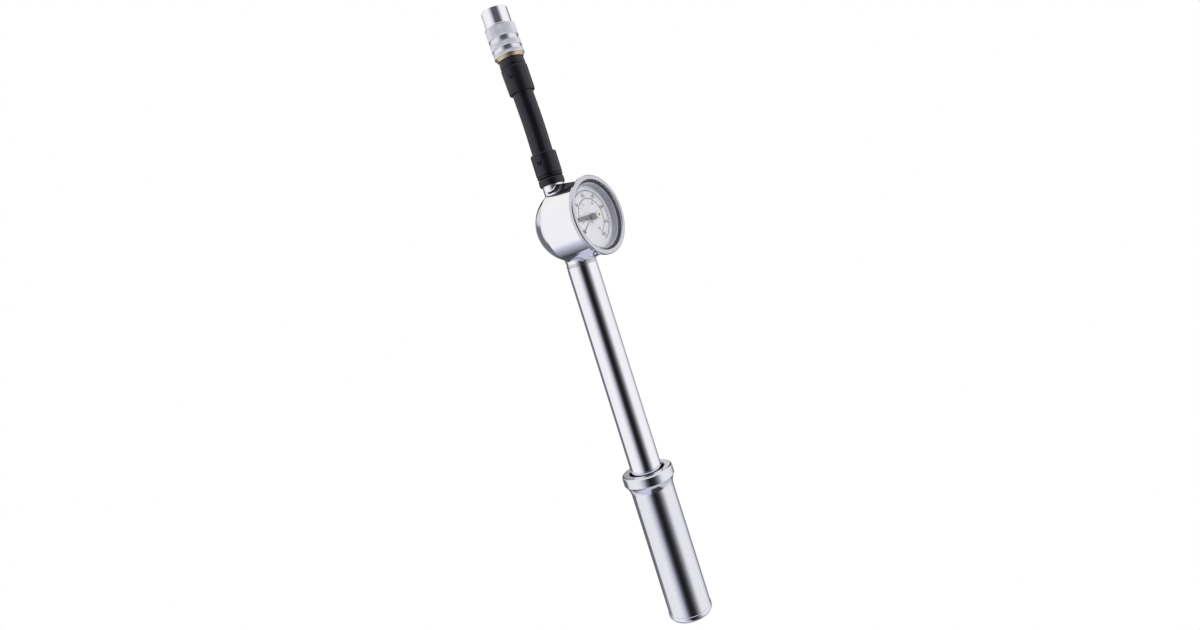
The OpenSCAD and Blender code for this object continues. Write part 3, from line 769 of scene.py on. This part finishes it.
def make_lens_boss():
    """Cream ring with a dark centre over the boss moulded into the window; the opaque cream ring is a painted
    highlight on the clear boss.
    """
    front = span("gauge_lens", GAUGE)[1].z
    foot = front - 0.3 * MM
    top = front + 0.05 * MM
    soft = 0.18 * MM
    outer = 1.75 * MM
    eye = 0.5 * MM
    axis_r = 0.02 * MM
    ring = [(eye, foot), (outer, foot)]
    ring += arc((outer - soft, top - soft), soft, 0, 90, 6)
    ring += arc((eye + soft, top - soft), soft, 90, 180, 6)
    mesh = turned(ring, 64, GAUGE)
    # The opaque cream ring is a painted highlight on the window's boss
    piece("lens_boss", mesh, "boss_painted_highlight", "pump_body", "pale_plastic")
    plug = [(axis_r, foot), (eye, foot), (eye, top - 0.2 * MM), (axis_r, top - 0.12 * MM)]
    mesh = turned(plug, 48, GAUGE)
    piece("lens_boss_plug", mesh, "needle_paint", "pump_body", "needle_paint")


# ---- Studio ----

UP = Vector((0, 0, 1))
# Direction from the pump to the camera
TOWARDS_CAMERA = Vector((-0.7815, -0.6239, 0.0)).normalized()
CAMERA_DISTANCE = 0.269
CAMERA_LEVEL = 0.143
CAMERA_ROLL = math.radians(17.52)


def make_camera():
    """Camera level with the gauge and rolled, so that the pump lies aslant."""
    right = TOWARDS_CAMERA.cross(-UP)
    across = right * math.cos(CAMERA_ROLL) - UP * math.sin(CAMERA_ROLL)
    upward = UP * math.cos(CAMERA_ROLL) + right * math.sin(CAMERA_ROLL)
    place = Matrix((across, upward, TOWARDS_CAMERA)).transposed().to_4x4()
    place.translation = TOWARDS_CAMERA * CAMERA_DISTANCE + UP * CAMERA_LEVEL
    data = bpy.data.cameras.new("camera")
    data.sensor_width = 36
    data.lens = 20.7
    data.shift_x = 0.0158
    data.shift_y = -0.0442
    data.clip_start = 0.01
    data.clip_end = 50
    camera = bpy.data.objects.new("camera", data)
    camera.matrix_world = place
    bpy.context.scene.collection.objects.link(camera)
    bpy.context.scene.camera = camera


def make_floor():
    """Plain pale floor, below the handle at full stroke."""
    half = 6.0
    level = -0.14
    mesh = bmesh.new()
    corners = ((-half, -half), (half, -half), (half, half), (-half, half))
    mesh.faces.new([mesh.verts.new((x, y, level)) for x, y in corners])
    data = bpy.data.meshes.new("floor")
    mesh.to_mesh(data)
    mesh.free()
    floor = bpy.data.objects.new("floor", data)
    bpy.context.scene.collection.objects.link(floor)
    material = bpy.data.materials.new("floor")
    material.use_nodes = True
    shader = material.node_tree.nodes["Principled BSDF"]
    shader.inputs["Base Color"].default_value = (0, 0, 0, 1)
    shader.inputs["Specular IOR Level"].default_value = 0
    shader.inputs["Emission Color"].default_value = (1, 1, 1, 1)
    shader.inputs["Emission Strength"].default_value = 1.0
    data.materials.append(material)
    floor.visible_glossy = False
    floor.visible_diffuse = False
    floor.visible_shadow = False


def make_dial_light():
    """Soft panel in front of the dial, which mirrors do not show."""
    data = bpy.data.lights.new("dial_light", "AREA")
    data.shape = "DISK"
    data.size = 0.12
    data.energy = 0.14
    lamp = bpy.data.objects.new("dial_light", data)
    lamp.matrix_world = GAUGE @ Matrix.Translation((0, 0.03, 0.25))
    lamp.visible_glossy = False
    bpy.context.scene.collection.objects.link(lamp)


class Sky:
    """World nodes: brightness of the studio by heading and height."""

    def __init__(self):
        world = bpy.data.worlds.new("studio")
        world.use_nodes = True
        bpy.context.scene.world = world
        self.tree = world.node_tree
        self.tree.nodes.clear()

    def node(self, kind, **settings):
        node = self.tree.nodes.new(kind)
        for key, value in settings.items():
            setattr(node, key, value)
        return node

    def put(self, value, socket):
        if isinstance(value, bpy.types.NodeSocket):
            self.tree.links.new(value, socket)
        else:
            socket.default_value = value

    def math(self, operation, *values):
        node = self.node("ShaderNodeMath", operation=operation)
        for value, socket in zip(values, node.inputs):
            self.put(value, socket)
        return node.outputs["Value"]

    def step(self, value, low, high):
        """0 below low, 1 above high, smooth between; low may be above high."""
        node = self.node("ShaderNodeMapRange", interpolation_type="SMOOTHSTEP")
        self.put(value, node.inputs["Value"])
        if low < high:
            ends = (low, high, 0.0, 1.0)
        else:
            ends = (high, low, 1.0, 0.0)
        for name, end in zip(("From Min", "From Max", "To Min", "To Max"), ends):
            node.inputs[name].default_value = end
        return node.outputs["Result"]

    def window(self, value, low, high, low_soft, high_soft):
        """1 between low and high, with a soft edge at each."""
        return self.math(
            "MULTIPLY",
            self.step(value, low - low_soft, low + low_soft),
            self.step(value, high + high_soft, high - high_soft),
        )

    def ramp(self, value, stops):
        """Grey or coloured ramp; stops are (position, colour)."""
        node = self.node("ShaderNodeValToRGB")
        elements = node.color_ramp.elements
        while len(elements) < len(stops):
            elements.new(0.5)
        for element, (position, colour) in zip(elements, stops):
            element.position = position
            element.color = (*colour, 1)
        self.put(value, node.inputs["Fac"])
        return node.outputs["Color"]

    def mix(self, factor, first, second, mode="MIX"):
        """Colour that goes from first to second with factor."""
        node = self.node("ShaderNodeMix", data_type="RGBA", blend_type=mode)
        self.put(factor, node.inputs["Factor"])
        inputs = [s for s in node.inputs if s.type == "RGBA"]
        for socket, colour in zip(inputs, (first, second)):
            self.put((*colour, 1) if isinstance(colour, tuple) else colour, socket)
        return [s for s in node.outputs if s.type == "RGBA"][0]


# Share of the light that the chrome gives back
CHROME_RETURN = 0.85
PLAIN = (1.0, 1.0, 1.0)
LAVENDER_LEFT = (0.92, 0.93, 1.09)
LAVENDER_RIGHT = (0.95, 0.95, 1.05)
CREAM = (1.0, 0.99, 0.95)
WARM = (1.0, 0.985, 0.93)
# Shades above this one stay plain, darker ones lean to lavender
PLAIN_FROM = 215

# What polished chrome facing the camera mirrors: (heading in degrees from the
# camera, + to the right, shade). A dark opening stands beside the camera.
BANDS = (
    (-180, 120), (-158, 150), (-145, 188), (-112, 238), (-60, 243), (-45, 230),
    (-30, 190), (-15, 84), (-3, 30), (8, 30), (22, 62), (37, 145), (53, 230),
    (65, 243), (112, 240), (145, 188), (158, 150), (180, 120),
)
# The same for directions that point steeply down
GROUND = (
    (-180, 90), (-146, 62), (-132, 128), (-116, 165), (-97, 215), (-24, 215),
    (-8, 60), (58, 60), (76, 215), (130, 200), (180, 150),
)
# Dark stands far behind the pump: (heading from, heading to, foot, top, shade).
# Heights here and below are sines of the elevation.
STANDS = (
    (-154, -118, -0.50, 0.22, 112), (136, 162, -0.50, 0.00, 165),
    (-178, -154, 0.16, 0.64, 60), (138, 168, 0.10, 0.64, 60),
)


def shade(value, tint=PLAIN):
    """Light that chrome shows as this shade, from 0 to 255, in a tint."""
    s = value / 255
    level = s / 12.92 if s <= 0.04045 else ((s + 0.055) / 1.055) ** 2.4
    return tuple(level / CHROME_RETURN * t for t in tint)


def tinted(bands):
    """Ramp stops for bands by heading, in lavender where they are dark."""
    result = []
    for degrees, value in bands:
        tint = LAVENDER_LEFT if degrees < 0 else LAVENDER_RIGHT
        if value > PLAIN_FROM:
            tint = PLAIN
        result.append(((degrees + 180) / 360, shade(value, tint)))
    return result


def make_studio():
    """Soft studio: bright walls with a dark slot, seen only in reflections and
    as light, behind plain white."""
    sky = Sky()
    direction = sky.node("ShaderNodeTexCoord").outputs["Generated"]
    turn = sky.node("ShaderNodeVectorRotate", rotation_type="Z_AXIS")
    heading = math.atan2(TOWARDS_CAMERA.y, TOWARDS_CAMERA.x)
    turn.inputs["Angle"].default_value = -heading
    sky.put(direction, turn.inputs["Vector"])
    split = sky.node("ShaderNodeSeparateXYZ")
    sky.put(turn.outputs["Vector"], split.inputs["Vector"])
    x, y, z = (split.outputs[axis] for axis in "XYZ")
    azimuth = sky.math("ARCTAN2", y, x)
    aside = sky.math("ABSOLUTE", azimuth)
    share = sky.math("MULTIPLY_ADD", azimuth, 1 / (2 * math.pi), 0.5)

    wall = sky.ramp(share, tinted(BANDS))
    # The slot is less dark above the horizon
    wall = sky.mix(sky.step(z, 0.02, 0.16), wall, shade(90, LAVENDER_LEFT), "LIGHTEN")
    # Pale wall behind the pump, above the horizon
    behind = sky.step(aside, math.radians(122), math.radians(145))
    raised = sky.math("MULTIPLY", behind, sky.step(z, 0.10, 0.20))
    wall = sky.mix(raised, wall, shade(212, CREAM))
    for start, end, foot, top, tone in STANDS:
        soft = math.radians(4)
        width = sky.window(azimuth, math.radians(start), math.radians(end), soft, soft)
        height = sky.window(z, foot, top, 0.1, 0.08)
        wall = sky.mix(sky.math("MULTIPLY", width, height), wall, shade(tone, LAVENDER_LEFT))
    # Dark zone low behind the pump
    far = sky.step(aside, math.radians(146), math.radians(160))
    low = sky.window(z, -0.59, -0.26, 0.05, 0.06)
    wall = sky.mix(sky.math("MULTIPLY", far, low), wall, shade(66, LAVENDER_LEFT))
    # Ceiling, warmer on the left
    ceiling = sky.mix(sky.step(y, 0.1, -0.6), shade(240), shade(244, WARM))
    wall = sky.mix(sky.step(z, 0.50, 0.80), wall, ceiling)
    # Ground, with a pale spot straight below
    wall = sky.mix(sky.step(z, -0.60, -0.72), wall, sky.ramp(share, tinted(GROUND)))
    wall = sky.mix(sky.step(z, -0.96, -0.985), wall, shade(205))

    seen = sky.node("ShaderNodeLightPath").outputs["Is Camera Ray"]
    colour = sky.mix(seen, wall, PLAIN)
    background = sky.node("ShaderNodeBackground")
    sky.put(colour, background.inputs["Color"])
    output = sky.node("ShaderNodeOutputWorld")
    sky.put(background.outputs["Background"], output.inputs["Surface"])
    bpy.context.scene.view_settings.view_transform = "Standard"
    bpy.context.scene.view_settings.look = "None"


make_camera()
make_floor()
make_studio()
make_dial_light()
paint_cad_nodes()
make_hose()
make_ferrules()
make_collar()
make_valve_thread()
make_dial_scale()
make_dial_numbers()
make_lens_boss()
make_check_spring()
